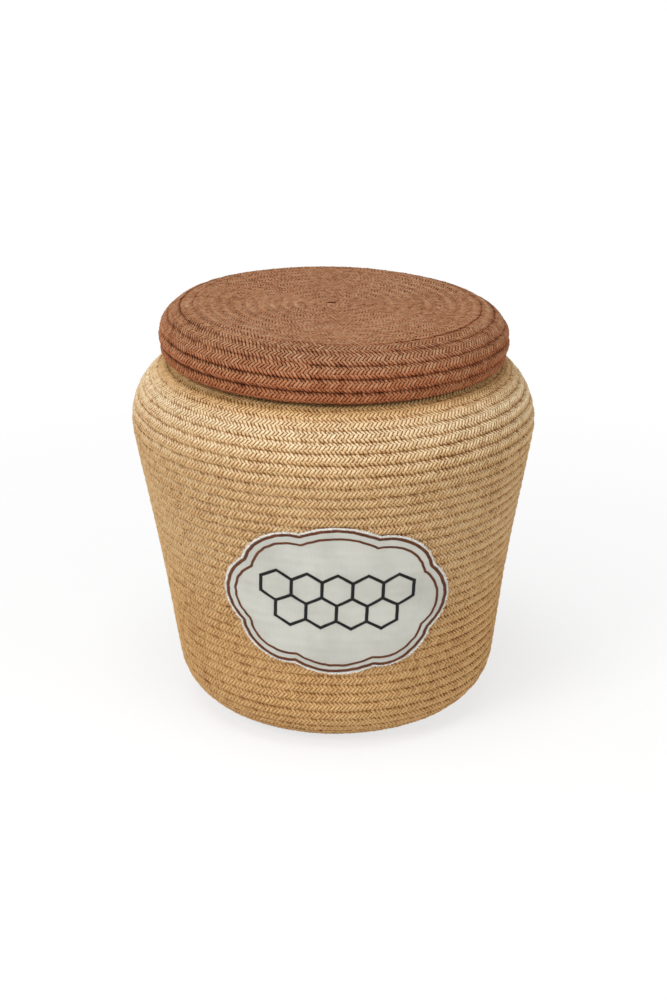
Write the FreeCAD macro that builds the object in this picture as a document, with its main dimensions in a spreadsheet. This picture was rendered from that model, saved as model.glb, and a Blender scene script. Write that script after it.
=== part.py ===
"""Lidded storage basket of coiled cotton rope, in the form of a honey pot.

Frame: millimetres, +Z up, origin at the middle of the foot, on the surface it stands on.
The embroidered label faces -Y. Both rope shells are one rope thick: the rope's centre line is
drawn as a path in the half plane r, z, and the path is cut into rows one rope wide.
"""
import FreeCAD, Part

import math
import os

DOC = FreeCAD.newDocument("honey_pot_basket")
Z_AXIS = FreeCAD.Vector(0, 0, 1)

SIZES = {
    # basket, measured over the crests of its rows
    "body_radius": 150.0,        # widest, where the shoulder starts to roll in
    "widest_height": 223.7,
    "foot_radius": 115.5,        # where the line of the wall would meet the floor
    "foot_corner_radius": 44.6,
    "shoulder_radius": 48.0,
    "mouth_radius": 116.0,       # outside of the short neck under the lid
    "neck_fillet": 6.0,
    "neck_rise": 11.0,           # straight part of the neck
    "body_rope_pitch": 7.8,
    "body_rope_thick": 7.0,
    # lid
    "lid_rope_pitch": 8.9,
    "lid_rope_thick": 8.0,
    "lid_corner_radius": 26.0,
    "lid_skirt": 5.8,            # straight part of the skirt
    "lid_lean": 14.0,            # degrees that the skirt leans in towards its bottom row
    "neck_clearance": 2.5,       # between the neck and the inside of the skirt
    "lid_rest_gap": 0.1,         # between the skirt's bottom row and the shoulder
    "groove_depth": 1.1,         # how far the seam between two rows lies below their crests
    # label, as seen from the front
    "label_height": 128.5,       # middle of the label above the floor
    "label_gap": 0.2,            # between the rows' crests and the cloth
    "label_thick": 0.9,
    "label_margin": 8.0,         # from the inner border to the cloth's edge
    "border_step": 6.0,          # from the inner border to the outer one
    "border_half_width": 72.0,
    "border_half_height": 52.0,
    "top_cusp_side": 27.0,       # cusps beside the top and bottom lobes
    "top_cusp_rise": 45.0,
    "side_cusp_side": 61.0,      # cusps beside the left and right lobes
    "side_cusp_rise": 22.0,
    "corner_bulge": 9.0,         # how far a corner lobe stands out from the line of its cusps
    "stitch_gap": 0.05,
    "stitch_thick": 0.8,
    "outer_stitch_width": 1.7,
    "inner_stitch_width": 1.2,
    # embroidered honeycomb
    "cell_radius": 12.5,         # of a cell's middle line, corner to centre
    "cell_line_width": 2.3,
    "cells_in_long_row": 5,
}


def make_sheet():
    """The spreadsheet with every driving size."""
    sheet = DOC.addObject("Spreadsheet::Sheet", "sizes")
    for row, (alias, value) in enumerate(SIZES.items(), start=1):
        sheet.set("A%d" % row, alias)
        sheet.set("B%d" % row, str(value))
        sheet.setAlias("B%d" % row, alias)
    DOC.recompute()
    return sheet


SHEET = make_sheet()


def size(alias):
    """One driving size, read from the sheet."""
    return float(SHEET.get(alias))


def point(r, z):
    """A point of the half plane in which the sections are drawn."""
    return FreeCAD.Vector(r, 0, z)


def add_shape(name, shape):
    """A Part::Feature that holds a shape worked out here."""
    feature = DOC.addObject("Part::Feature", name)
    feature.Shape = shape
    return feature


# ---- the rope's centre line: straight runs and tangent arcs ----

class RopePath:
    """A path in the half plane r, z, walked from its start; headings are in degrees from +r."""

    def __init__(self, r, z, heading):
        self.runs = []
        self.length = 0.0
        self.r = r
        self.z = z
        self.heading = heading

    def go(self, length, turn=0.0):
        """Walk on by length while turning left by turn degrees."""
        self.runs.append((self.length, length, turn, self.r, self.z, self.heading))
        self.r, self.z, self.heading = self._walk(self.runs[-1], length)
        self.length += length

    def arc(self, radius, turn):
        """Walk an arc of this radius; a negative turn goes right."""
        self.go(radius * math.radians(abs(turn)), turn)

    @staticmethod
    def _walk(run, distance):
        _, length, turn, r, z, heading = run
        start = math.radians(heading)
        if turn == 0.0:
            return r + distance * math.cos(start), z + distance * math.sin(start), heading
        angle = math.radians(turn) * distance / length
        radius = length / math.radians(turn)
        r += radius * (math.sin(start + angle) - math.sin(start))
        z -= radius * (math.cos(start + angle) - math.cos(start))
        return r, z, heading + math.degrees(angle)

    def offset(self, distance, out):
        """The point at this distance along the path, moved by out to its right."""
        run = [one for one in self.runs if one[0] <= distance + 1e-9][-1]
        r, z, heading = self._walk(run, distance - run[0])
        across = math.radians(heading - 90.0)
        return point(r + out * math.cos(across), z + out * math.sin(across))


def on_axis(vector):
    """The same point, set exactly on the axis."""
    return point(0.0, vector.z)


def bulge(seam, crest, next_seam):
    """The outline of one row of rope, from seam to seam."""
    return Part.Arc(seam, crest, next_seam).toShape()


def half_bulge(seam, crest, next_seam):
    """The first half of such an outline, from the seam to the crest."""
    whole = Part.Arc(seam, crest, next_seam)
    between = whole.value(0.75 * whole.FirstParameter + 0.25 * whole.LastParameter)
    return Part.Arc(seam, between, crest).toShape()


def coil_section(path, pitch, thick, groove):
    """The face of rows of rope side by side along the path, which starts on the axis.

    The axis is the middle of the first row, and the path ends at the last row's round edge.
    The rows share the path's length evenly.
    """
    rows = round(path.length / pitch - 0.5)
    step = path.length / (rows + 0.5)
    crest = thick / 2.0
    seam = crest - groove
    edges = []
    for side in (1.0, -1.0):
        first = path.offset(0.5 * step, side * seam)
        edges.append(half_bulge(first, on_axis(path.offset(0.0, side * crest)), point(-first.x, first.z)))
        for row in range(1, rows):
            edges.append(bulge(path.offset((row - 0.5) * step, side * seam),
                               path.offset(row * step, side * crest),
                               path.offset((row + 0.5) * step, side * seam)))
        edges.append(half_bulge(path.offset((rows - 0.5) * step, side * seam),
                                path.offset(rows * step, side * crest),
                                path.offset(path.length, side * seam)))
    edges.append(bulge(path.offset(rows * step, crest),
                       path.offset(path.length, 0.0),
                       path.offset(rows * step, -crest)))
    edges.append(Part.LineSegment(on_axis(path.offset(0.0, crest)),
                                  on_axis(path.offset(0.0, -crest))).toShape())
    return Part.Face(Part.Wire(Part.__sortEdges__(edges)))


def revolve(name, section):
    """A solid of revolution about Z, as a document object."""
    solid = DOC.addObject("Part::Revolution", name)
    solid.Label = name
    solid.Source = add_shape(name + "_section", section)
    solid.Axis = Z_AXIS
    solid.Angle = 360.0
    solid.Solid = True
    return solid


# ---- basket ----

# middle of the shoulder's arc
SHOULDER_R = size("body_radius") - size("shoulder_radius")
SHOULDER_Z = size("widest_height")
# the wall's outer line runs from the foot circle on the floor and is tangent to the shoulder
FOOT_TO_SHOULDER = math.hypot(SHOULDER_R - size("foot_radius"), SHOULDER_Z)
WALL_LENGTH = math.sqrt(FOOT_TO_SHOULDER ** 2 - size("shoulder_radius") ** 2)
WALL_HEADING = math.degrees(math.atan2(SHOULDER_Z, SHOULDER_R - size("foot_radius"))
                            - math.asin(size("shoulder_radius") / FOOT_TO_SHOULDER))


def wall_point(height, out):
    """The point of the wall's outer line at this height, moved out square to the wall."""
    lean = math.radians(90.0 - WALL_HEADING)
    r = size("foot_radius") + height * math.tan(lean)
    return point(r + out * math.cos(lean), height - out * math.sin(lean))


def make_basket():
    """Flat coiled base, round corner, flaring wall, rolled shoulder and a short upright neck."""
    half = size("body_rope_thick") / 2.0
    corner_cut = size("foot_corner_radius") * math.tan(math.radians(WALL_HEADING / 2.0))
    between = size("mouth_radius") + size("neck_fillet") - SHOULDER_R
    roll = math.degrees(math.acos(between / (size("shoulder_radius") + size("neck_fillet"))))
    path = RopePath(0.0, half, 0.0)
    path.go(size("foot_radius") - corner_cut)
    path.arc(size("foot_corner_radius") - half, WALL_HEADING)
    path.go(WALL_LENGTH - corner_cut)
    path.arc(size("shoulder_radius") - half, roll + 90.0 - WALL_HEADING)
    path.arc(size("neck_fillet") + half, -roll)
    path.go(size("neck_rise"))
    section = coil_section(path, size("body_rope_pitch"), size("body_rope_thick"), size("groove_depth"))
    return revolve("basket", section)


# ---- lid ----

def lid_path():
    """From the middle of the top, out over the round corner and down to the skirt's edge.

    The skirt goes round the neck, and its bottom row rests on the shoulder. So the path is
    laid out backwards, from that row up to the top, and then walked forwards.
    """
    half = size("lid_rope_thick") / 2.0
    corner = size("lid_corner_radius") - half
    lean = math.radians(size("lid_lean"))
    row_r = size("mouth_radius") + size("neck_clearance") + half
    reach = size("shoulder_radius") + size("lid_rest_gap") + half
    row_z = SHOULDER_Z + math.sqrt(reach ** 2 - (row_r - SHOULDER_R) ** 2)
    top_r = row_r + size("lid_skirt") * math.sin(lean) - corner * math.cos(lean)
    top_z = row_z + size("lid_skirt") * math.cos(lean) + corner * (1.0 + math.sin(lean))
    path = RopePath(0.0, top_z, 0.0)
    path.go(top_r)
    path.arc(corner, -90.0 - size("lid_lean"))
    path.go(size("lid_skirt") + half)
    return path


def make_lid():
    section = coil_section(lid_path(), size("lid_rope_pitch"), size("lid_rope_thick"),
                           size("groove_depth"))
    return revolve("lid", section)


# ---- embroidered label ----

def circle_through(one, two, three):
    """Middle and radius of the circle through three points (x, z)."""
    (ax, az), (bx, bz), (cx, cz) = one, two, three
    twice = 2.0 * (ax * (bz - cz) + bx * (cz - az) + cx * (az - bz))
    a_square, b_square, c_square = ax * ax + az * az, bx * bx + bz * bz, cx * cx + cz * cz
    x = (a_square * (bz - cz) + b_square * (cz - az) + c_square * (az - bz)) / twice
    z = (a_square * (cx - bx) + b_square * (ax - cx) + c_square * (bx - ax)) / twice
    return x, z, math.hypot(ax - x, az - z)


def label_lobes():
    """The inner border, anticlockwise: for each of its eight lobes the circle and its first cusp."""
    side_x, side_z = size("side_cusp_side"), size("side_cusp_rise")
    top_x, top_z = size("top_cusp_side"), size("top_cusp_rise")
    bulge_share = size("corner_bulge") / math.hypot(side_x - top_x, top_z - side_z)
    corner_peak = ((side_x + top_x) / 2.0 + (top_z - side_z) * bulge_share,
                   (side_z + top_z) / 2.0 + (side_x - top_x) * bulge_share)
    side = circle_through((side_x, side_z), (size("border_half_width"), 0.0), (side_x, -side_z))
    top = circle_through((top_x, top_z), (0.0, size("border_half_height")), (-top_x, top_z))
    corner = circle_through((side_x, side_z), corner_peak, (top_x, top_z))
    lobes = [(side, 1, 1, (side_x, -side_z)), (corner, 1, 1, (side_x, side_z)),
             (top, 1, 1, (top_x, top_z)), (corner, -1, 1, (-top_x, top_z)),
             (side, -1, 1, (-side_x, side_z)), (corner, -1, -1, (-side_x, -side_z)),
             (top, 1, -1, (-top_x, -top_z)), (corner, 1, -1, (top_x, -top_z))]
    return [((x * across, z * up, radius), cusp) for (x, z, radius), across, up, cusp in lobes]


def crossing(one, two, near):
    """The crossing of two circles that lies nearer to the given point."""
    (ax, az, ar), (bx, bz, br) = one, two
    gap = math.hypot(bx - ax, bz - az)
    along = (ar * ar - br * br + gap * gap) / (2.0 * gap)
    across = math.sqrt(ar * ar - along * along)
    ux, uz = (bx - ax) / gap, (bz - az) / gap
    both = [(ax + along * ux - side * across * uz, az + along * uz + side * across * ux)
            for side in (1.0, -1.0)]
    return min(both, key=lambda one: math.hypot(one[0] - near[0], one[1] - near[1]))


def cartouche(step):
    """The lobed outline as a face in the XZ plane, step outside the inner border."""
    lobes = [((x, z, radius + step), cusp) for (x, z, radius), cusp in label_lobes()]
    cusps = [crossing(lobes[i - 1][0], lobes[i][0], lobes[i][1]) for i in range(len(lobes))]
    edges = []
    for i, ((x, z, radius), _) in enumerate(lobes):
        start, end = cusps[i], cusps[(i + 1) % len(lobes)]
        aim_x, aim_z = (start[0] + end[0]) / 2.0 - x, (start[1] + end[1]) / 2.0 - z
        reach = radius / math.hypot(aim_x, aim_z)
        edges.append(Part.Arc(point(*start), point(x + aim_x * reach, z + aim_z * reach),
                              point(*end)).toShape())
    return Part.Face(Part.Wire(edges))


def band(middle_step, width):
    """A line of this width that follows the lobed outline."""
    return cartouche(middle_step + width / 2.0).cut(cartouche(middle_step - width / 2.0))


def hexagon(x, z, radius):
    """A regular hexagon that stands on a corner."""
    corners = [point(x + radius * math.sin(math.radians(60 * i)),
                     z + radius * math.cos(math.radians(60 * i))) for i in range(6)]
    return Part.Face(Part.makePolygon(corners + corners[:1]))


def honeycomb():
    """Two rows of cells, drawn as lines; the lower row is one cell shorter."""
    radius = size("cell_radius")
    line = size("cell_line_width")
    count = int(size("cells_in_long_row"))
    pitch = radius * math.sqrt(3.0)
    middles = []
    for row, cells in enumerate((count, count - 1)):
        for i in range(cells):
            middles.append((pitch * (i - (cells - 1) / 2.0), radius * (0.75 - 1.5 * row)))
    # a corner lies further out than the flat that it ends by 2 / sqrt(3)
    spread = line / math.sqrt(3.0)
    outside = [hexagon(x, z, radius + spread) for x, z in middles]
    inside = [hexagon(x, z, radius - spread) for x, z in middles]
    return outside[0].fuse(outside[1:]).removeSplitter().cut(inside)


def wrap_on_wall(name, outline, clearance, thick):
    """A layer on the front of the wall with this outline, as seen from the front."""
    half_height = size("border_half_height") + 2.0 * size("label_margin")
    low = size("label_height") - half_height
    high = size("label_height") + half_height
    corners = [wall_point(low, clearance), wall_point(low, clearance + thick),
               wall_point(high, clearance + thick), wall_point(high, clearance)]
    ring = revolve(name + "_ring", Part.Face(Part.makePolygon(corners + corners[:1])))
    outline.translate(point(0.0, size("label_height")))
    prism = DOC.addObject("Part::Extrusion", name + "_prism")
    prism.Base = add_shape(name + "_outline", outline)
    prism.DirMode = "Custom"
    prism.Dir = FreeCAD.Vector(0, -1, 0)
    prism.Solid = True
    prism.setExpression("LengthFwd", "2 * sizes.body_radius")
    layer = DOC.addObject("Part::Common", name)
    layer.Label = name
    layer.Base = ring
    layer.Tool = prism
    return layer


def make_label():
    """The cloth patch, the two stitched borders on it and the embroidered honeycomb."""
    cloth = wrap_on_wall("label", cartouche(size("label_margin")),
                         size("label_gap"), size("label_thick"))
    on_cloth = size("label_gap") + size("label_thick") + size("stitch_gap")
    stitched = {
        "label_border_outer": band(size("border_step"), size("outer_stitch_width")),
        "label_border_inner": band(0.0, size("inner_stitch_width")),
        "label_honeycomb": honeycomb(),
    }
    layers = [wrap_on_wall(name, outline, on_cloth, size("stitch_thick"))
              for name, outline in stitched.items()]
    return [cloth] + layers


def check_document():
    """Stop when any object failed to build."""
    for item in DOC.Objects:
        if "Invalid" in item.State or "Error" in item.State:
            raise RuntimeError("%s: %s" % (item.Name, item.State))


def main():
    pieces = [make_basket(), make_lid()] + make_label()
    DOC.recompute()
    check_document()
    os.makedirs("parts", exist_ok=True)
    for piece in pieces:
        if piece.Shape.isNull() or not piece.Shape.isValid():
            raise RuntimeError("%s has no valid shape" % piece.Label)
    for piece in pieces:
        piece.Shape.exportStep(os.path.join("parts", piece.Label + ".step"))
        box = piece.Shape.BoundBox
        print("%s: %d solid(s), volume %.0f mm3, x %.1f..%.1f y %.1f..%.1f z %.1f..%.1f"
              % (piece.Label, len(piece.Shape.Solids), piece.Shape.Volume,
                 box.XMin, box.XMax, box.YMin, box.YMax, box.ZMin, box.ZMax))


main()
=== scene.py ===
"""Lidded storage basket of coiled cotton rope, in the form of a honey pot, dressed for view.

Metres, +Z up, origin at the middle of the foot, label towards -Y. Basket and lid are each one long
braided rope, coiled from the middle of a disc outwards, so every rope piece here follows one spiral.
"""

import math
import random

import bpy
from mathutils import Matrix, Vector, noise


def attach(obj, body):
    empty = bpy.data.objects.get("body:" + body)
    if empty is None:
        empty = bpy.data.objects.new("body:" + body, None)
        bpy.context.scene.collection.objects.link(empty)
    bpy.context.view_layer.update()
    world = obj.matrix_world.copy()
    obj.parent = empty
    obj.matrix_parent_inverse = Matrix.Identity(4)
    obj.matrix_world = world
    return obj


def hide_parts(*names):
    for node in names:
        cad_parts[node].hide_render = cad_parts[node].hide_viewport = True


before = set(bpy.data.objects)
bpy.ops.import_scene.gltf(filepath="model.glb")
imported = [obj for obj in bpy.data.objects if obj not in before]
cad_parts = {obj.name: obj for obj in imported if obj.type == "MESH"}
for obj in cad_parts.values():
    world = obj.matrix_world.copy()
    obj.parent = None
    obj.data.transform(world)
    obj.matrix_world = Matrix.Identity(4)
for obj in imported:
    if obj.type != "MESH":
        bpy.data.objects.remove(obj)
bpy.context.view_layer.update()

MM = 0.001

# ---- the basket's and the lid's sections, measured over the crests of their rows ----
BODY_RADIUS = 150.0 * MM
WIDEST_HEIGHT = 223.7 * MM
FOOT_RADIUS = 115.5 * MM            # where the line of the wall would meet the floor
FOOT_CORNER_RADIUS = 44.6 * MM
SHOULDER_RADIUS = 48.0 * MM
MOUTH_RADIUS = 116.0 * MM
NECK_FILLET = 6.0 * MM
NECK_RISE = 11.0 * MM
LID_CORNER_RADIUS = 26.0 * MM
LID_SKIRT = 5.8 * MM
LID_LEAN = 14.0                     # degrees that the skirt leans in
NECK_CLEARANCE = 2.5 * MM
LID_REST_GAP = 0.1 * MM

SHOULDER_R = BODY_RADIUS - SHOULDER_RADIUS
FOOT_TO_SHOULDER = math.hypot(SHOULDER_R - FOOT_RADIUS, WIDEST_HEIGHT)
WALL_LENGTH = math.sqrt(FOOT_TO_SHOULDER ** 2 - SHOULDER_RADIUS ** 2)
WALL_HEADING = math.degrees(math.atan2(WIDEST_HEIGHT, SHOULDER_R - FOOT_RADIUS)
                            - math.asin(SHOULDER_RADIUS / FOOT_TO_SHOULDER))
WALL_LEAN = math.radians(90.0 - WALL_HEADING)

# ---- how basket and lid lie a little out of true ----
WALL_DRAW = 0.013                   # share of the radius that the wall draws in by, midway up
BASKET_LEAN = 0.0115                # sideways over height
BASKET_LEAN_AXIS = 110.0 * MM       # the height that stays in the middle
LID_SLANT = 0.022                   # fall of the lid's top over its width
LID_SINK = 0.3 * MM
LID_SHIFT = -0.6 * MM
LID_RIM_SWELL = 1.6 * MM
LID_LEVEL_SHARE = 0.22              # last share of the section, over which it comes to lie level
LID_RIM_START, LID_RIM_SHARE = 0.68, 0.28       # where along the section the rim swells

# ---- the ropes ----
BASKET_ROPE = 7.0 * MM              # thick
BASKET_PITCH = 7.8 * MM             # from row to row
BASKET_STITCH = 3.05 * MM           # from one braid stitch to the next
LID_ROPE = 8.0 * MM
LID_PITCH = 8.9 * MM
LID_STITCH = 3.0 * MM
HEART_DEPTH = 0.95 * MM             # of the rope's heart under the crests of its strands
HEART_OVERLAP = 0.12 * MM           # of one row's heart with the next, to close the rows
HEART_STRIP = 0.7                   # metres of rope in one strip of its flat layout
START_TAPER, END_TAPER = 1.5 * MM, 60.0 * MM
FLOOR_GAP = 0.03 * MM               # the base's strands lie flat on the floor
TOP_HIGHLIGHT_RAMP = 12.0 * MM              # over which the painted top highlight ramps in beside the lid's shade

# ---- the strands of one braid stitch ----
STRAND_LEAN = 46.0                  # degrees from the rope's direction
STRAND_COLUMNS = ((-0.78, -1), (0.0, 1), (0.78, -1))    # place across the row, way it leans
STRAND_LONG = 0.72                  # half its length, as a share of half a row
STRAND_WIDE = 0.36                  # this and the next two as shares of the stitch
STRAND_HIGH = 0.19
STRAND_SWAY = 0.27                  # how far neighbours lie apart from an even braid
SEAM_SHADE = 0.6                    # how much painted shade deepens the colour where two rows meet

# ---- label, as seen from the front ----
LABEL_HEIGHT = 128.5 * MM
LABEL_TURN = math.radians(-2.8)     # as it was sewn on, a little askew
LABEL_SHIFT = Vector((1.5 * MM, -0.3 * MM, 0.0))
BORDER_HALF_WIDTH = 72.0 * MM
BORDER_HALF_HEIGHT = 52.0 * MM
TOP_CUSP = (27.0 * MM, 45.0 * MM)
SIDE_CUSP = (61.0 * MM, 22.0 * MM)
CORNER_BULGE = 9.0 * MM
BORDER_STEP = 5.6 * MM              # from the inner border to the outer one
CLOTH_MARGIN = 8.0 * MM             # from the inner border to the cloth's edge
CLOTH_LIFT = 0.25 * MM              # under side of the cloth above the rows' crests
CLOTH_THICK = 0.75 * MM
CLOTH_TOP = CLOTH_LIFT + CLOTH_THICK
THREAD_HIGH = 0.4 * MM              # of the brown border's satin threads
BORDER_PITCH = 0.42 * MM            # from one of its threads to the next
CELL_WALL_WIDE = 2.9 * MM
CELL_WALL_HIGH = 0.5 * MM
CELL_WALL_PITCH = 0.4 * MM
CELL_SIDE = 12.5 * MM


# =====================================================================
# Working by hand: select, shape, finish
# =====================================================================

def let_go():
    """Nothing selected."""
    if bpy.context.mode != "OBJECT":
        bpy.ops.object.mode_set(mode="OBJECT")
    bpy.ops.object.select_all(action="DESELECT")


def take(*things):
    """Only these objects selected, the first one active."""
    let_go()
    for thing in things:
        thing.select_set(True)
    bpy.context.view_layer.objects.active = things[0]
    return things[0]


def name_it(name):
    """The object that an operator just added, with its name."""
    thing = bpy.context.object
    thing.name = name
    thing.data.name = name
    return thing


def add_modifier(piece, kind, **settings):
    """Add one modifier to a piece, with its settings."""
    take(piece)
    bpy.ops.object.modifier_add(type=kind)
    modifier = piece.modifiers[-1]
    for key, value in settings.items():
        setattr(modifier, key, value)


def apply_modifiers(piece):
    take(piece)
    for modifier in list(piece.modifiers):
        bpy.ops.object.modifier_apply(modifier=modifier.name)


def throw_away(*things):
    for thing in things:
        bpy.data.objects.remove(thing)


def shape_by(piece, move):
    """Move every corner of a mesh by one rule."""
    for corner in piece.data.vertices:
        corner.co = move(corner.co)
    piece.data.update()


def wear(piece, finish, body="root", node=None):
    """Give a finished piece its material and its place in the object."""
    piece.data.materials.clear()
    piece.data.materials.append(finish)
    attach(piece, body)
    if node:
        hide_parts(node)
    return piece


# =====================================================================
# Materials
# =====================================================================

class Finish:
    """A node material under construction: nodes are added by type, and linked as they are used."""

    def __init__(self, name):
        self.material = bpy.data.materials.new(name)
        self.material.use_nodes = True
        self.tree = self.material.node_tree
        self.shader = self.tree.nodes["Principled BSDF"]

    def node(self, kind, inputs=(), **settings):
        made = self.tree.nodes.new(kind)
        for key, value in settings.items():
            setattr(made, key, value)
        for socket, value in dict(inputs).items():
            self.feed(made, socket, value)
        return made

    def feed(self, node, socket, value):
        target = node.inputs[socket]
        if isinstance(value, bpy.types.NodeSocket):
            self.tree.links.new(value, target)
        else:
            target.default_value = value

    def coordinates(self):
        return self.node("ShaderNodeTexCoord").outputs["Object"]

    def noise(self, scale, detail=2.0, roughness=0.5):
        made = self.node("ShaderNodeTexNoise",
                         {"Scale": scale, "Detail": detail, "Roughness": roughness,
                          "Vector": self.coordinates()})
        return made.outputs["Fac"]

    def ramp(self, value, stops):
        """A colour ramp from (place, colour) stops."""
        made = self.node("ShaderNodeValToRGB", {"Fac": value})
        ramp = made.color_ramp
        while len(ramp.elements) < len(stops):
            ramp.elements.new(0.5)
        for element, (place, colour) in zip(ramp.elements, stops):
            element.position = place
            element.color = colour
        return made.outputs["Color"]

    def spread(self, value, low, high, to_low, to_high):
        """The value, carried from one range to another."""
        made = self.node("ShaderNodeMapRange",
                         {"Value": value, "From Min": low, "From Max": high,
                          "To Min": to_low, "To Max": to_high})
        return made.outputs["Result"]

    def sum(self, one, two, operation="ADD"):
        """Two values taken together, by sum unless another operation is named."""
        return self.node("ShaderNodeMath", {0: one, 1: two}, operation=operation).outputs[0]

    def blend(self, share, one, two, blend_type="MIX"):
        made = self.node("ShaderNodeMix", data_type="RGBA", blend_type=blend_type)
        self.feed(made, 0, share)
        self.feed(made, 6, one)
        self.feed(made, 7, two)
        return made.outputs[2]

    def relief(self, height, depth, strength=1.0, under=None):
        inputs = {"Height": height, "Distance": depth, "Strength": strength}
        if under:
            inputs["Normal"] = under
        return self.node("ShaderNodeBump", inputs).outputs["Normal"]

    def wear(self, **inputs):
        """Feed the shader: colour, roughness and the rest, by its socket names with _ for spaces."""
        for key, value in inputs.items():
            self.feed(self.shader, key.replace("_", " "), value)
        return self.material


def srgb(red, green, blue):
    """A colour as it is seen, 0 to 255, as the linear colour that the shader takes."""
    def linear(part):
        part /= 255.0
        return part / 12.92 if part <= 0.04045 else ((part + 0.055) / 1.055) ** 2.4
    return (linear(red), linear(green), linear(blue), 1.0)


def cotton_strands(name, dark, middle, light, highlight_tint):
    """Cotton yarn of a braid: each strand a little different, with painted shade at its sides and in
    the seams, and a painted highlight, paler and less saturated, where it faces up."""
    finish = Finish(name)
    strand = finish.node("ShaderNodeNewGeometry").outputs["Random Per Island"]
    painted_light = finish.node("ShaderNodeAttribute", attribute_name="painted_light").outputs["Fac"]
    patches = finish.noise(24.0, detail=2.0)
    flecks = finish.noise(800.0, detail=2.0)
    tone = finish.sum(finish.spread(strand, 0.0, 1.0, -0.17, 0.17),
                      finish.spread(patches, 0.3, 0.7, -0.06, 0.06))
    tone = finish.sum(tone, finish.spread(flecks, 0.3, 0.7, -0.2, 0.2))
    # painted shade: the colour is darker towards each strand's sides and the rows' seams
    tone = finish.sum(tone, finish.spread(painted_light, 0.2, 0.95, 0.0, 0.6))
    colour = finish.ramp(tone, [(0.0, dark), (0.46, middle), (1.0, light)])
    # painted highlight: strands that face up, outside the lid's shade, are lightened by the tint
    top_highlight = finish.node("ShaderNodeAttribute", attribute_name="top_highlight").outputs["Fac"]
    highlight_share = finish.sum(top_highlight, finish.spread(painted_light, 0.0, 1.0, 0.4, 1.0), "MULTIPLY")
    colour = finish.blend(highlight_share, colour, finish.blend(1.0, colour, (*highlight_tint, 1.0), "MULTIPLY"))
    fibres = finish.noise(2200.0, detail=3.0, roughness=0.65)
    return finish.wear(Base_Color=colour, Roughness=0.92, Specular_IOR_Level=0.15,
                       Normal=finish.relief(fibres, 0.0002, 0.5))


def rope_heart(name, dark, light):
    """The rope under its outer strands, and its inner side."""
    finish = Finish(name)
    patches = finish.noise(60.0, detail=4.0)
    colour = finish.ramp(patches, [(0.3, dark), (0.75, light)])
    fibres = finish.noise(1400.0, detail=4.0, roughness=0.6)
    return finish.wear(Base_Color=colour, Roughness=0.95, Specular_IOR_Level=0.1,
                       Normal=finish.relief(fibres, 0.0005, 0.8))


def woven_cotton(name, light, shade):
    """Plain-woven cotton of the label: threads along and across its own flat layout."""
    finish = Finish(name)
    layout = finish.node("ShaderNodeUVMap", uv_map="OFBake").outputs["UV"]
    threads = []
    for direction in ("X", "Y"):
        made = finish.node("ShaderNodeTexWave",
                           {"Vector": layout, "Scale": 62.0, "Distortion": 1.2, "Detail": 2.0,
                            "Detail Scale": 3.0},
                           bands_direction=direction)
        threads.append(made.outputs["Fac"])
    weave = finish.sum(threads[0], threads[1], "MAXIMUM")
    slubs = finish.noise(300.0, detail=3.0)
    stains = finish.noise(35.0, detail=3.0)
    tone = finish.sum(finish.spread(weave, 0.0, 1.0, 0.25, 0.6),
                      finish.spread(stains, 0.3, 0.7, -0.1, 0.25))
    colour = finish.ramp(tone, [(0.0, shade), (0.75, light)])
    surface = finish.relief(weave, 0.00012, 0.7, finish.relief(slubs, 0.0003, 0.5))
    return finish.wear(Base_Color=colour, Roughness=0.85, Sheen_Weight=0.2, Sheen_Roughness=0.5,
                       Specular_IOR_Level=0.25, Normal=surface)


def embroidery_thread(name, dark, light, roughness):
    """Twisted embroidery thread, each stitch catching the light a little differently."""
    finish = Finish(name)
    stitch = finish.node("ShaderNodeNewGeometry").outputs["Random Per Island"]
    patches = finish.noise(120.0, detail=2.0)
    tone = finish.sum(finish.spread(stitch, 0.0, 1.0, 0.0, 0.6),
                      finish.spread(patches, 0.3, 0.7, 0.0, 0.4))
    colour = finish.ramp(tone, [(0.0, dark), (1.0, light)])
    twist = finish.noise(3500.0, detail=1.0)
    return finish.wear(Base_Color=colour, Roughness=roughness, Sheen_Weight=0.05,
                       Specular_IOR_Level=0.3, Normal=finish.relief(twist, 0.0001, 0.5))


def make_materials():
    return {
        # strands: the dark colour is painted shade at their sides and seams, the last tint a painted
        # highlight where they face up
        "tan_strands": cotton_strands("tan_cotton_strands", srgb(120, 68, 24),
                                      srgb(201, 158, 105), srgb(215, 181, 129),
                                      (1.2, 1.62, 2.5)),
        # hearts: the rope's own colour, kept deeper than the strands as painted shade where they
        # show in the gaps
        "tan_heart": rope_heart("tan_rope_heart", srgb(158, 98, 42), srgb(190, 132, 70)),
        "brown_strands": cotton_strands("brown_cotton_strands", srgb(74, 26, 8),
                                        srgb(163, 94, 58), srgb(188, 130, 92),
                                        (0.8, 1.26, 1.62)),
        "brown_heart": rope_heart("brown_rope_heart", srgb(78, 32, 14), srgb(104, 52, 28)),
        "label_cotton": woven_cotton("label_cotton", srgb(200, 200, 191), srgb(160, 159, 148)),
        "brown_thread": embroidery_thread("brown_thread", srgb(66, 29, 8), srgb(118, 62, 26),
                                          0.5),
        "black_thread": embroidery_thread("black_thread", srgb(8, 9, 8), srgb(22, 24, 22), 0.6),
        "loose_thread": embroidery_thread("loose_thread", srgb(244, 238, 232),
                                          srgb(255, 252, 248), 0.7),
    }


# =====================================================================
# The coil: the rope's middle line as a path in the half plane, then as a spiral
# =====================================================================

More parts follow.
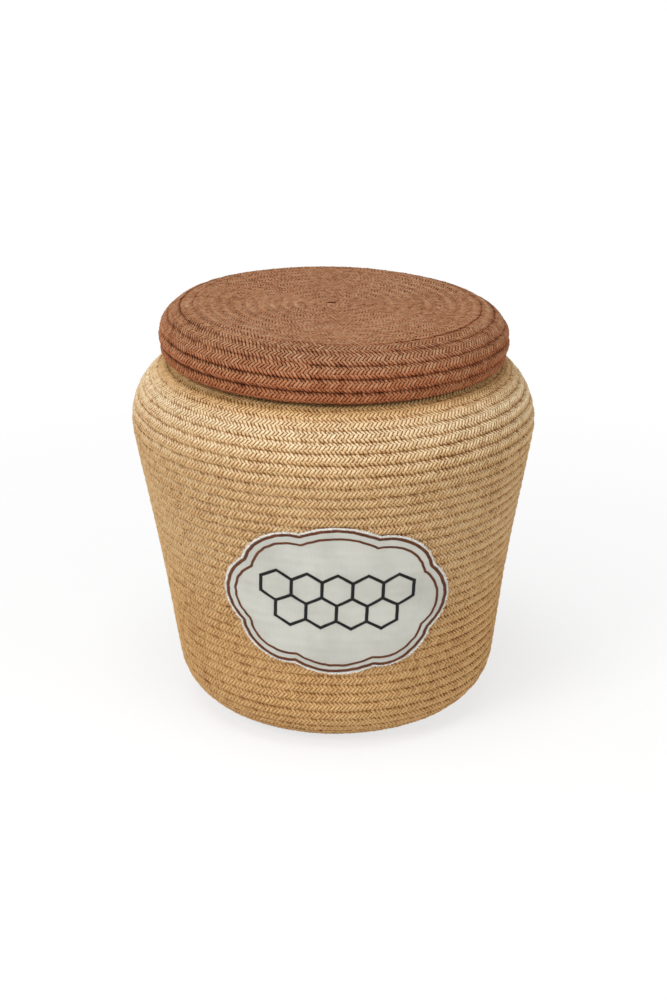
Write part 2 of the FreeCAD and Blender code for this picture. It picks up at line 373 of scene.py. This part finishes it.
class RopePath:
    """A path in the half plane r, z, walked from its start; headings are in degrees from +r."""

    def __init__(self, r, z, heading):
        self.runs = []
        self.length = 0.0
        self.r = r
        self.z = z
        self.heading = heading

    def go(self, length, turn=0.0):
        """Walk on by length while turning left by turn degrees."""
        self.runs.append((self.length, length, turn, self.r, self.z, self.heading))
        self.r, self.z, self.heading = self.walk(self.runs[-1], length)
        self.length += length

    def arc(self, radius, turn):
        """Walk an arc of this radius; a negative turn goes right."""
        self.go(radius * math.radians(abs(turn)), turn)

    @staticmethod
    def walk(run, distance):
        _, length, turn, r, z, heading = run
        start = math.radians(heading)
        if turn == 0.0:
            return r + distance * math.cos(start), z + distance * math.sin(start), heading
        angle = math.radians(turn) * distance / length
        radius = length / math.radians(turn)
        r += radius * (math.sin(start + angle) - math.sin(start))
        z -= radius * (math.cos(start + angle) - math.cos(start))
        return r, z, heading + math.degrees(angle)

    def at(self, distance):
        """r, z and heading at this distance along the path."""
        run = [one for one in self.runs if one[0] <= distance][-1]
        return self.walk(run, distance - run[0])


def basket_path(half):
    """The basket's section, from the middle of its base to its rim."""
    path = RopePath(0.0, half, 0.0)
    corner_cut = FOOT_CORNER_RADIUS * math.tan(math.radians(WALL_HEADING / 2))
    between = MOUTH_RADIUS + NECK_FILLET - SHOULDER_R
    roll = math.degrees(math.acos(between / (SHOULDER_RADIUS + NECK_FILLET)))
    path.go(FOOT_RADIUS - corner_cut)
    path.arc(FOOT_CORNER_RADIUS - half, WALL_HEADING)
    path.go(WALL_LENGTH - corner_cut)
    path.arc(SHOULDER_RADIUS - half, roll + 90.0 - WALL_HEADING)
    path.arc(NECK_FILLET + half, -roll)
    path.go(NECK_RISE)
    return path


def lid_path(half):
    """The lid's section, from the middle of its top to the bottom of its skirt."""
    corner = LID_CORNER_RADIUS - half
    lean = math.radians(LID_LEAN)
    row_r = MOUTH_RADIUS + NECK_CLEARANCE + half
    reach = SHOULDER_RADIUS + LID_REST_GAP + half
    row_z = WIDEST_HEIGHT + math.sqrt(reach ** 2 - (row_r - SHOULDER_R) ** 2)
    top_r = row_r + LID_SKIRT * math.sin(lean) - corner * math.cos(lean)
    top_z = row_z + LID_SKIRT * math.cos(lean) + corner * (1 + math.sin(lean))
    path = RopePath(0.0, top_z, 0.0)
    path.go(top_r)
    path.arc(corner, -90.0 - LID_LEAN)
    path.go(LID_SKIRT + half)
    return path


def within_one(value):
    """The value, kept from 0 to 1."""
    return min(1.0, max(0.0, value))


def basket_settle(spot, _=0.0):
    """The soft basket leans a little and its wall draws in between foot and shoulder."""
    draw = 1.0 - WALL_DRAW * math.sin(math.pi * within_one(spot.z / WIDEST_HEIGHT)) ** 2
    return Vector((spot.x * draw + BASKET_LEAN * (BASKET_LEAN_AXIS - spot.z), spot.y * draw,
                   spot.z))


def lid_settle(spot, share):
    """The lid's top slants a little to the right, and its rim stands up full; its bottom row lies
    level on the shoulder. The share says how far along the lid's section the spot is."""
    slack = within_one((1.0 - share) / LID_LEVEL_SHARE)
    slant = -(LID_SLANT * spot.x + LID_SINK) * slack
    rim_place = within_one((share - LID_RIM_START) / LID_RIM_SHARE)
    rim = LID_RIM_SWELL * math.sin(math.pi * rim_place) ** 2
    outward = Vector((spot.x, spot.y, 0.0)).normalized()
    return spot + rim * outward + Vector((LID_SHIFT, 0, slant + 0.2 * rim))


class Coil:
    """One rope coiled along a section: its places, which way it faces, and the pieces on it."""

    def __init__(self, name, path, pitch, thick, travel, outward, end_angle, stitch, looks,
                 lid_shade_radius, settle, seed):
        self.name = name
        self.path = path
        self.thick = thick
        rows = round(path.length / pitch - 0.5)
        self.pitch = path.length / (rows + 0.5)
        self.travel = travel            # 1 when it goes anticlockwise seen from above
        self.outward = outward          # degrees from the path's heading to the outside
        self.end_angle = end_angle      # where the rope's end is, in radians
        self.stitch = stitch            # from one braid stitch to the next
        # for each stretch: radians from a row's crest to its seam, how much painted shade deepens
        # the colour between strands, and how far they spread to close the seam
        self.looks = looks
        self.lid_shade_radius = lid_shade_radius          # within this radius, in the lid's shade, no painted top highlight is laid on
        self.settle = settle            # how the finished coil lies, a little out of true
        self.seed = seed
        self.first = 0.22 * self.pitch
        self.last = path.length - self.pitch / 2
        self.points = self.walk_points()

    def angle(self, s):
        """Where round the basket the rope is when its section has gone s far."""
        return self.end_angle + self.travel * 2 * math.pi * (s - self.last) / self.pitch

    def place(self, s):
        """The rope's middle and its tilt, with the small unevenness of hand coiling."""
        r, z, heading = self.path.at(s)
        angle = self.angle(s)
        spot = Vector((math.cos(angle) * r, math.sin(angle) * r, z))
        calm = min(1.0, r / (30 * MM))
        ease = 0.25 * MM * noise.noise(spot * 38.0 + Vector((self.seed, 0, 0))) * calm
        sway = 0.55 * MM * noise.noise(spot * 9.0 + Vector((0, self.seed, 0))) * calm
        jog = 0.2 * MM * noise.noise(spot * 60.0 + Vector((0, 0, self.seed))) * calm
        across = math.radians(heading + self.outward)
        along = math.radians(heading)
        r += (ease + sway) * math.cos(across) + jog * math.cos(along)
        z += (ease + sway) * math.sin(across) + jog * math.sin(along)
        tilt = self.travel * (math.pi / 2 - across)
        spot = Vector((math.cos(angle) * r, math.sin(angle) * r, z))
        return self.settle(spot, s / self.path.length), tilt

    def walk_points(self):
        """Points along the whole rope, each its place and tilt: closer together where it winds
        tightly."""
        points = []
        s = self.first
        while s < self.last:
            points.append(self.place(s))
            radius = self.path.at(s)[0]
            stride = min(6.0 * MM, 0.22 * radius)
            s += self.pitch * stride / (2 * math.pi * radius)
        points.append(self.place(self.last))
        return points

    def lengths(self):
        """How far along the rope each point is."""
        total = [0.0]
        for (one, _), (two, _) in zip(self.points, self.points[1:]):
            total.append(total[-1] + (two - one).length)
        return total


def draw_curve(name, points, tapers=None):
    """A plain curve through points, each its place and tilt."""
    data = bpy.data.curves.new(name, "CURVE")
    data.dimensions = "3D"
    data.twist_mode = "Z_UP"
    data.use_path = True
    line = data.splines.new("POLY")
    line.points.add(len(points) - 1)
    for index, (spot, (place, tilt)) in enumerate(zip(line.points, points)):
        spot.co = (*place, 1.0)
        spot.tilt = tilt
        spot.radius = tapers[index] if tapers else 1.0
    curve = bpy.data.objects.new(name, data)
    bpy.context.scene.collection.objects.link(curve)
    return curve


def end_tapers(lengths):
    """How thick the rope is at each point: both its ends thin out."""
    total = lengths[-1]
    return [max(0.12, min(1.0, done / START_TAPER, (total - done) / END_TAPER) ** 0.5)
            for done in lengths]


def lay_out_tube(rope, lengths):
    """A flat layout of the tube: strips of equal length, one above another."""
    mesh = rope.data
    around = len(mesh.vertices) // len(lengths)
    strips = math.ceil(lengths[-1] / HEART_STRIP)
    while mesh.uv_layers:
        mesh.uv_layers.remove(mesh.uv_layers[0])
    layout = mesh.uv_layers.new(name="OFBake")
    for face in mesh.polygons:
        rings = [corner // around for corner in face.vertices]
        if len(rings) != 4 or max(rings) >= len(lengths):       # an end of the rope
            for loop in face.loop_indices:
                layout.data[loop].uv = (0.0, 0.0)
            continue
        strip = int(lengths[min(rings)] / HEART_STRIP)
        sides = [corner % around for corner in face.vertices]
        wraps = max(sides) - min(sides) > 1
        for loop, ring, side in zip(face.loop_indices, rings, sides):
            side = around if wraps and side == 0 else side
            along = (lengths[ring] - strip * HEART_STRIP) / HEART_STRIP
            layout.data[loop].uv = (0.01 + 0.95 * along,
                                    (strip + 0.05 + 0.9 * side / around) / strips)


def make_rope_heart(coil, finish, node):
    """The round rope that carries the strands, as one long tube that closes every row."""
    let_go()
    bpy.ops.curve.primitive_bezier_circle_add(radius=1.0)
    outline = name_it(coil.name + "_outline")
    outline.data.resolution_u = 3
    half_row = coil.pitch / 2 + HEART_OVERLAP
    half_thick = coil.thick / 2 - HEART_DEPTH
    for spot in outline.data.splines[0].bezier_points:
        for part in ("co", "handle_left", "handle_right"):
            x, y, z = getattr(spot, part)
            setattr(spot, part, (x * half_row, y * half_thick, z))
    lengths = coil.lengths()
    rope = draw_curve(coil.name + "_rope", coil.points, end_tapers(lengths))
    rope.data.bevel_mode = "OBJECT"
    rope.data.bevel_object = outline
    rope.data.use_fill_caps = True
    take(rope)
    bpy.ops.object.convert(target="MESH")
    rope = bpy.context.object
    throw_away(outline)
    lay_out_tube(rope, lengths)
    take(rope)
    bpy.ops.object.shade_smooth()
    return wear(rope, finish, node=node)


def strand_bead(coil, across, way, roundness, shade, spread):
    """One strand of a stitch: a plump spindle laid slantwise over the round rope."""
    let_go()
    bpy.ops.mesh.primitive_uv_sphere_add(segments=6, ring_count=4, radius=1.0)
    strand = name_it(coil.name + "_strand")
    half_row = coil.pitch / 2
    half_thick = coil.thick / 2 - STRAND_HIGH * coil.stitch
    place = (Matrix.Translation((0.5 * coil.stitch * abs(across), across * half_row, 0))
             @ Matrix.Rotation(way * math.radians(STRAND_LEAN), 4, "Z")
             @ Matrix.Diagonal((STRAND_LONG * half_row, STRAND_WIDE * coil.stitch,
                                STRAND_HIGH * coil.stitch, 1.0))
             @ Matrix.Rotation(math.pi / 2, 4, "Y"))
    heights = [max(0.0, -corner.co.x) / max(0.5, corner.co.xy.length)
               for corner in strand.data.vertices]
    strand.data.transform(place)

    def lay_round(spot):
        around = roundness * spot.y / half_row
        return Vector((spot.x, spread * half_row * math.sin(around) / math.sin(roundness),
                       (half_thick + spot.z) * math.cos(around)))
    shape_by(strand, lay_round)
    # painted light per corner: full on the strand's top, painted shade down its sides and towards
    # the seams
    painted_light = strand.data.attributes.new("painted_light", "FLOAT", "POINT")
    for corner, share, height in zip(strand.data.vertices, painted_light.data, heights):
        to_seam = min(1.0, abs(corner.co.y) / half_row / spread)
        share.value = ((1.0 - shade * (1.0 - height))
                       * (1.0 - SEAM_SHADE * roundness * to_seam ** 6))
    return strand


def make_stitch(coil, roundness, shade, spread):
    """The strands of one stitch side by side across the rope, each leaning against the next."""
    strands = [strand_bead(coil, across, way, roundness, shade, spread)
               for across, way in STRAND_COLUMNS]
    for column, strand in enumerate(strands):
        strand.data.uv_layers[0].name = "OFBake"
        for corner in strand.data.uv_layers["OFBake"].data:
            corner.uv = ((column + 0.1 + 0.8 * corner.uv[0]) / len(strands),
                         0.06 + 0.88 * corner.uv[1])
    take(*strands)
    bpy.ops.object.join()
    bpy.ops.object.shade_smooth()
    return bpy.context.object


def unevenness(size):
    """A soft cloud that pushes neighbouring strands different ways."""
    cloud = bpy.data.textures.new("unevenness", "CLOUDS")
    cloud.cloud_type = "COLOR"
    cloud.noise_scale = size
    cloud.noise_depth = 1
    return cloud


def make_start(coil, finish):
    """The rope's first end, tucked into the middle of the coil."""
    let_go()
    bpy.ops.mesh.primitive_uv_sphere_add(segments=24, ring_count=12, radius=1.0)
    start = name_it(coil.name + "_start")
    middle = coil.settle(Vector((0, 0, coil.path.at(0.0)[1])), 0.0)
    wide = 0.6 * coil.pitch
    start.data.transform(Matrix.Translation(middle)
                         @ Matrix.Diagonal((wide, wide, coil.thick / 2 - 0.5 * MM, 1.0)))
    # a middling share of painted light and of painted top highlight for the tucked end
    for name, level in (("painted_light", 0.5), ("top_highlight", 0.6)):
        share = start.data.attributes.new(name, "FLOAT", "POINT")
        share.data.foreach_set("value", [level] * len(start.data.vertices))
    start.data.uv_layers[0].name = "OFBake"
    bpy.ops.object.shade_smooth()
    return wear(start, finish)


def make_braid(coil, finish):
    """The strands along the whole rope, in stretches of a few metres, each a piece of its own."""
    lengths = coil.lengths()
    stretches = len(coil.looks)
    cuts = [0]
    for part in range(1, stretches + 1):
        goal = lengths[-1] * part / stretches
        cuts.append(min(range(len(lengths)), key=lambda index: abs(lengths[index] - goal)))
    tapers = end_tapers(lengths)
    made = []
    for number, (start, stop) in enumerate(zip(cuts, cuts[1:]), start=1):
        run = draw_curve("run", coil.points[start:stop + 1], tapers[start:stop + 1])
        length = lengths[stop] - lengths[start]
        columns = math.floor(math.sqrt(length / coil.stitch))
        rows = round(length / coil.stitch / columns)
        step = length / columns / rows
        braid = make_stitch(coil, *coil.looks[number - 1])
        braid.name = "%s_braid_%d" % (coil.name, number)
        for corner in braid.data.uv_layers["OFBake"].data:
            corner.uv = (corner.uv[0] / columns, corner.uv[1] / rows)
        shape_by(braid, lambda place: place + Vector((step / 2, 0, 0)))
        add_modifier(braid, "ARRAY", count=columns, use_relative_offset=False,
                     use_constant_offset=True, constant_offset_displace=(step, 0, 0),
                     offset_u=1 / columns)
        add_modifier(braid, "ARRAY", count=rows, use_relative_offset=False,
                     use_constant_offset=True,
                     constant_offset_displace=(step * columns, 0, 0), offset_v=1 / rows)
        add_modifier(braid, "DISPLACE", texture=unevenness(coil.stitch), direction="RGB_TO_XYZ",
                     texture_coords="LOCAL", mid_level=0.5, strength=STRAND_SWAY * coil.stitch)
        add_modifier(braid, "CURVE", object=run, deform_axis="POS_X")
        apply_modifiers(braid)
        shape_by(braid, lambda place: Vector((*place.xy, max(place.z, FLOOR_GAP))))
        # painted top highlight: strands that face up, ramped in outside the lid's shade radius
        top_highlight = braid.data.attributes.new("top_highlight", "FLOAT", "POINT")
        for corner, share in zip(braid.data.vertices, top_highlight.data):
            out = (corner.co.xy.length - coil.lid_shade_radius) / TOP_HIGHLIGHT_RAMP
            share.value = within_one(1.4 * corner.normal.z) * within_one(out)
        throw_away(run)
        made.append(wear(braid, finish))
    made.append(make_start(coil, finish))
    return made


def make_coils():
    """The basket's coil and the lid's: the lid's runs the other way and has no lid over it, so its
    painted top highlight reaches everywhere.
    """
    basket = Coil("basket", basket_path(BASKET_ROPE / 2), BASKET_PITCH, BASKET_ROPE, travel=-1,
                  outward=-90.0, end_angle=math.radians(100), stitch=BASKET_STITCH,
                  looks=((0.9, 0.34, 1.0), (0.9, 0.34, 1.01), (0.92, 0.34, 1.02),
                         (0.92, 0.34, 1.02), (0.94, 0.36, 1.02), (0.95, 0.38, 1.02),
                         (0.95, 0.4, 1.03), (0.8, 0.4, 1.06)),
                  lid_shade_radius=126 * MM, settle=basket_settle, seed=3.0)
    lid = Coil("lid", lid_path(LID_ROPE / 2), LID_PITCH, LID_ROPE, travel=1, outward=90.0,
               end_angle=math.radians(70), stitch=LID_STITCH,
               looks=((0.25, 0.4, 1.0), (0.3, 0.4, 1.0), (0.6, 0.42, 1.06), (1.0, 0.42, 1.0)),
               lid_shade_radius=-1.0, settle=lid_settle, seed=11.0)
    return basket, lid


# =====================================================================
# The label
# =====================================================================

def circle_through(one, two, three):
    """Centre and radius of the circle through three points of the label's front view."""
    (ax, ay), (bx, by), (cx, cy) = one, two, three
    d = 2 * (ax * (by - cy) + bx * (cy - ay) + cx * (ay - by))
    a, b, c = (x * x + y * y for x, y in (one, two, three))
    x = (a * (by - cy) + b * (cy - ay) + c * (ay - by)) / d
    y = (a * (cx - bx) + b * (ax - cx) + c * (bx - ax)) / d
    return x, y, math.hypot(ax - x, ay - y)


def scallops():
    """The eight round lobes of the inner border, each with the direction that it faces."""
    side = circle_through(SIDE_CUSP, (BORDER_HALF_WIDTH, 0), (SIDE_CUSP[0], -SIDE_CUSP[1]))
    top = circle_through(TOP_CUSP, (0, BORDER_HALF_HEIGHT), (-TOP_CUSP[0], TOP_CUSP[1]))
    middle = Vector(((TOP_CUSP[0] + SIDE_CUSP[0]) / 2, (TOP_CUSP[1] + SIDE_CUSP[1]) / 2))
    chord = Vector((SIDE_CUSP[0] - TOP_CUSP[0], SIDE_CUSP[1] - TOP_CUSP[1])).normalized()
    crest = middle + CORNER_BULGE * Vector((-chord.y, chord.x))
    corner = circle_through(TOP_CUSP, tuple(crest), SIDE_CUSP)
    lobes = []
    for (x, y, radius), (across, up) in ((side, (1, 0)), (top, (0, 1)), (corner, (1, 1))):
        lobes += {(flip * x, turn * y, radius, math.atan2(turn * up, flip * across))
                  for flip in (1, -1) for turn in (1, -1)}
    return sorted(lobes)


LOBES = scallops()


def scallop_point(angle, margin):
    """The point of the scalloped line in one direction, this far outside the inner border."""
    reach = 0.0
    for x, y, radius, facing in LOBES:
        if math.cos(angle - facing) < 0.3:
            continue
        along = x * math.cos(angle) + y * math.sin(angle)
        off = x * math.sin(angle) - y * math.cos(angle)
        inside = (radius + margin) ** 2 - off ** 2
        if inside > 0:
            reach = max(reach, along + math.sqrt(inside))
    return Vector((reach * math.cos(angle), reach * math.sin(angle), 0.0))


def lay_on_wall(place):
    """From the flat label, x and y with z outwards, to the leaning wall."""
    place = Matrix.Rotation(LABEL_TURN, 3, "Z") @ place + LABEL_SHIFT
    height = LABEL_HEIGHT + place.y
    crest = FOOT_RADIUS + height * math.tan(WALL_LEAN)
    radius = crest + place.z * math.cos(WALL_LEAN)
    side = place.x * radius / crest
    return basket_settle(Vector((side, -math.sqrt(radius ** 2 - side ** 2),
                                 height - place.z * math.sin(WALL_LEAN))))


def cloth_swell(x, y):
    """How the cloth rises between its rows of stitching, and dips over the seams of the rope."""
    spot = Vector((x, y, 0.0))
    rows = 0.12 * MM * math.cos(2 * math.pi * (y + 0.012 * x) / BASKET_PITCH)
    return rows + 0.22 * MM * noise.noise(spot * 45.0) + 0.12 * MM * noise.noise(spot * 140.0)


def swell_with_cloth(place):
    """From the flat label to the top of its cloth, which isn't quite even."""
    return place + Vector((0, 0, CLOTH_TOP + cloth_swell(place.x, place.y)))


def make_cloth(finish):
    """The label's cloth: rings of faces from its scalloped edge to its middle."""
    around = 600
    let_go()
    bpy.ops.mesh.primitive_circle_add(vertices=around, radius=1.0, fill_type="NOTHING")
    cloth = name_it("label_cloth")
    random.seed(5)
    for index, corner in enumerate(cloth.data.vertices):
        angle = 2 * math.pi * index / around
        nibble = random.uniform(-0.35, 0.35) * MM
        corner.co = scallop_point(angle, CLOTH_MARGIN + nibble)
    rings = 44
    bpy.ops.object.mode_set(mode="EDIT")
    bpy.ops.mesh.select_all(action="SELECT")
    for ring in range(1, rings):
        share = (rings - ring) / (rings - ring + 1)
        bpy.ops.mesh.extrude_edges_move()
        bpy.ops.transform.resize(value=(share, share, 1.0), center_override=(0, 0, 0))
    bpy.ops.mesh.extrude_edges_move()
    bpy.ops.mesh.merge(type="CENTER")
    bpy.ops.mesh.select_all(action="SELECT")
    bpy.ops.mesh.normals_make_consistent(inside=False)
    bpy.ops.object.mode_set(mode="OBJECT")
    layout = cloth.data.uv_layers.new(name="OFBake")
    span = 0.18                     # metres of cloth across its layout
    for loop in cloth.data.loops:
        x, y = cloth.data.vertices[loop.vertex_index].co.xy
        layout.data[loop.index].uv = (0.5 + x / span, 0.5 + y / span)
    if cloth.data.polygons[0].normal.z < 0:
        cloth.data.flip_normals()
    shape_by(cloth, swell_with_cloth)
    add_modifier(cloth, "SOLIDIFY", thickness=CLOTH_THICK, offset=-1.0)
    apply_modifiers(cloth)
    shape_by(cloth, lay_on_wall)
    take(cloth)
    bpy.ops.object.shade_smooth()
    wear(cloth, finish, node="label")
    return cloth


def satin_thread(name, wide, pitch, high, slant):
    """One thread of a satin line, lying across it."""
    let_go()
    bpy.ops.mesh.primitive_uv_sphere_add(segments=6, ring_count=4, radius=1.0)
    thread = name_it(name)
    thread.data.uv_layers[0].name = "OFBake"
    place = (Matrix.Rotation(slant, 4, "Z")
             @ Matrix.Diagonal((0.62 * pitch, 0.5 * wide, high, 1.0))
             @ Matrix.Rotation(math.pi / 2, 4, "X"))
    thread.data.transform(place)
    return thread


def thread_line(thread, points, pitch):
    """Threads side by side along a flat line."""
    length = sum((two - one).length for one, two in zip(points, points[1:]))
    count = round(length / pitch)
    columns = math.ceil(math.sqrt(count))
    rows = math.ceil(count / columns)
    step = length / columns / rows
    for corner in thread.data.uv_layers["OFBake"].data:
        corner.uv = ((0.05 + 0.9 * corner.uv[0]) / columns, (0.05 + 0.9 * corner.uv[1]) / rows)
    add_modifier(thread, "ARRAY", count=columns, use_relative_offset=False,
                 use_constant_offset=True, constant_offset_displace=(step, 0, 0),
                 offset_u=1 / columns)
    add_modifier(thread, "ARRAY", count=rows, use_relative_offset=False,
                 use_constant_offset=True, constant_offset_displace=(step * columns, 0, 0),
                 offset_v=1 / rows)
    run = draw_curve("run", [(place, 0.0) for place in points])
    add_modifier(thread, "CURVE", object=run, deform_axis="POS_X")
    apply_modifiers(thread)
    throw_away(run)
    return thread


def make_border(name, margin, wide, drop, node, finish):
    """One brown satin line round the label, a little uneven as it was sewn."""
    points = []
    around = 900
    apart = margin * 900            # so that the two lines don't wander alike
    for index in range(around + 1):
        angle = 2 * math.pi * index / around
        spot = scallop_point(angle, margin)
        wander = Vector((noise.noise(spot * 40.0 + Vector((apart, 0, 0))),
                         noise.noise(spot * 40.0 + Vector((0, apart, 5.0))), 0))
        jag = noise.noise(spot * 260.0 + Vector((0, 0, apart))) * spot.normalized()
        points.append(spot + 0.9 * MM * wander + 0.4 * MM * jag + Vector((0, -drop, 0)))
    border = thread_line(satin_thread(name, wide, BORDER_PITCH, THREAD_HIGH, math.radians(14)),
                         points, BORDER_PITCH)
    shape_by(border, swell_with_cloth)
    shape_by(border, lay_on_wall)
    take(border)
    bpy.ops.object.shade_smooth()
    return wear(border, finish, node=node)


def honeycomb_edges():
    """Both ends of every cell wall, each wall once."""
    across = CELL_SIDE * math.sqrt(3)
    walls = {}
    for rise, cells in ((0.75 * CELL_SIDE, 5), (-0.75 * CELL_SIDE, 4)):
        for index in range(cells):
            x = (index - (cells - 1) / 2) * across
            corners = [Vector((x + CELL_SIDE * math.sin(math.radians(60 * turn)),
                               rise + CELL_SIDE * math.cos(math.radians(60 * turn)), 0))
                       for turn in range(6)]
            for one, two in zip(corners, corners[1:] + corners[:1]):
                middle = (one + two) / 2
                walls[(round(middle.x / MM), round(middle.y / MM))] = (one, two)
    return list(walls.values())


def make_honeycomb(finish):
    """Nine cells in black satin stitch, each wall sewn from corner to corner."""
    walls = []
    for one, two in honeycomb_edges():
        reach = 0.18 * CELL_WALL_WIDE * (two - one).normalized()
        thread = satin_thread("cell_wall", CELL_WALL_WIDE, CELL_WALL_PITCH, CELL_WALL_HIGH,
                              math.radians(18))
        walls.append(thread_line(thread, [one - reach, (one + two) / 2, two + reach],
                                 CELL_WALL_PITCH))
    per_side = 7                    # the walls' flat layouts, in a square of squares
    for number, wall in enumerate(walls):
        row, column = divmod(number, per_side)
        for corner in wall.data.uv_layers["OFBake"].data:
            corner.uv = ((column + corner.uv[0]) / per_side, (row + corner.uv[1]) / per_side)
    take(*walls)
    bpy.ops.object.join()
    honeycomb = name_it("label_honeycomb_thread")
    shape_by(honeycomb, swell_with_cloth)
    shape_by(honeycomb, lay_on_wall)
    take(honeycomb)
    bpy.ops.object.shade_smooth()
    return wear(honeycomb, finish, node="label_honeycomb")


def make_fringe(finish):
    """Short frayed threads along the cloth's cut edge."""
    random.seed(8)
    threads = []
    let_go()
    bpy.ops.mesh.primitive_cylinder_add(vertices=4, radius=0.14 * MM, depth=1.0)
    pattern = name_it("fringe_pattern")
    pattern.data.transform(Matrix.Rotation(math.pi / 2, 4, "Y"))
    count = 1300
    for index in range(count):
        angle = 2 * math.pi * (index + random.uniform(-0.4, 0.4)) / count
        root = scallop_point(angle, CLOTH_MARGIN - random.uniform(0.7, 1.5) * MM)
        tip = scallop_point(angle + random.uniform(-0.014, 0.014),
                            CLOTH_MARGIN + random.uniform(-0.3, 0.8) * MM)
        middle = (root + tip) / 2
        length = (tip - root).length
        heading = math.atan2(tip.y - root.y, tip.x - root.x)
        thread = pattern.copy()
        thread.data = pattern.data.copy()
        bpy.context.scene.collection.objects.link(thread)
        lift = CLOTH_LIFT + CLOTH_THICK * random.uniform(0.6, 1.25)
        thread.data.transform(Matrix.Translation(middle + Vector((0, 0, lift)))
                              @ Matrix.Rotation(heading, 4, "Z")
                              @ Matrix.Diagonal((length, 1, 1, 1)))
        threads.append(thread)
    throw_away(pattern)
    take(*threads)
    bpy.ops.object.join()
    fringe = name_it("label_fringe")
    shape_by(fringe, lay_on_wall)
    return wear(fringe, finish)


def make_label(finishes):
    cloth = make_cloth(finishes["label_cotton"])
    outer = make_border("label_outer_line", BORDER_STEP, 2.8 * MM, 0.0, "label_border_outer",
                        finishes["brown_thread"])
    inner = make_border("label_inner_line", 0.0, 2.2 * MM, 0.6 * MM, "label_border_inner",
                        finishes["brown_thread"])
    honeycomb = make_honeycomb(finishes["black_thread"])
    fringe = make_fringe(finishes["loose_thread"])


# =====================================================================
# Floor, lights and camera
# =====================================================================

def make_floor():
    """A white floor that keeps the soft shadow under the basket."""
    let_go()
    bpy.ops.mesh.primitive_circle_add(vertices=96, radius=2.0, fill_type="NGON")
    floor = name_it("floor")
    finish = Finish("white_floor")
    finish.wear(Base_Color=(0.9, 0.9, 0.9, 1.0), Roughness=0.9, Specular_IOR_Level=0.0)
    path = finish.node("ShaderNodeLightPath")
    seen = finish.node("ShaderNodeEmission", {"Color": (1, 1, 1, 1), "Strength": 1.0})
    far = finish.node("ShaderNodeVectorMath", {0: finish.coordinates()}, operation="LENGTH")
    clear = finish.spread(far.outputs["Value"], 0.15, 0.75, 0.72, 1.0)
    share = finish.sum(path.outputs["Is Camera Ray"], clear, "MULTIPLY")
    mixed = finish.node("ShaderNodeMixShader",
                        {0: share, 1: finish.shader.outputs[0], 2: seen.outputs[0]})
    finish.tree.links.new(mixed.outputs[0],
                          finish.tree.nodes["Material Output"].inputs["Surface"])
    floor.data.materials.append(finish.material)


def make_world():
    """Even white surroundings: plain fill light, and white where the camera sees past the floor."""
    world = bpy.data.worlds.new("studio")
    bpy.context.scene.world = world
    world.use_nodes = True
    tree = world.node_tree
    background = tree.nodes["Background"]
    path = tree.nodes.new("ShaderNodeLightPath")
    seen = tree.nodes.new("ShaderNodeMath")
    seen.operation = "MAXIMUM"
    tree.links.new(path.outputs["Is Camera Ray"], seen.inputs[0])
    tree.links.new(path.outputs["Is Glossy Ray"], seen.inputs[1])
    level = tree.nodes.new("ShaderNodeMapRange")
    level.inputs["To Min"].default_value = 0.34
    level.inputs["To Max"].default_value = 1.0
    tree.links.new(seen.outputs[0], level.inputs["Value"])
    tree.links.new(level.outputs["Result"], background.inputs["Strength"])
    background.inputs["Color"].default_value = (1, 1, 1, 1)


def add_lamp(name, place, aim, size, power):
    """A square soft lamp, turned to shine at a point."""
    let_go()
    bpy.ops.object.light_add(type="AREA", location=place)
    lamp = name_it(name)
    lamp.data.size = size
    lamp.data.energy = power
    lamp.rotation_euler = (Vector(aim) - Vector(place)).to_track_quat("-Z", "Y").to_euler()


def make_lights():
    middle = (0, 0, 0.15)
    add_lamp("key_lamp", (-1.1, -1.25, 1.3), middle, 0.8, 18.5)
    add_lamp("top_lamp", (-0.2, -0.5, 1.9), middle, 1.0, 19.5)
    add_lamp("fill_lamp", (1.5, -1.2, 0.8), middle, 1.2, 9.0)


def make_camera():
    """A long lens a little above the lid."""
    aim = Vector((0, 0, 0.1533))
    distance = 1.521
    rise = math.radians(21.0)
    let_go()
    bpy.ops.object.camera_add(location=aim + distance * Vector((0, -math.cos(rise),
                                                               math.sin(rise))))
    camera = name_it("camera")
    camera.rotation_euler = (math.pi / 2 - rise, 0, 0)
    camera.data.lens = 72.0
    camera.data.sensor_width = 36.0
    camera.data.shift_x = -0.0015
    camera.data.clip_end = 50.0
    bpy.context.scene.camera = camera


def main():
    finishes = make_materials()
    basket, lid = make_coils()
    make_rope_heart(basket, finishes["tan_heart"], "basket")
    make_rope_heart(lid, finishes["brown_heart"], "lid")
    make_braid(basket, finishes["tan_strands"])
    make_braid(lid, finishes["brown_strands"])
    make_label(finishes)
    make_floor()
    make_world()
    make_lights()
    make_camera()
    bpy.context.scene.view_settings.view_transform = "Standard"


main()
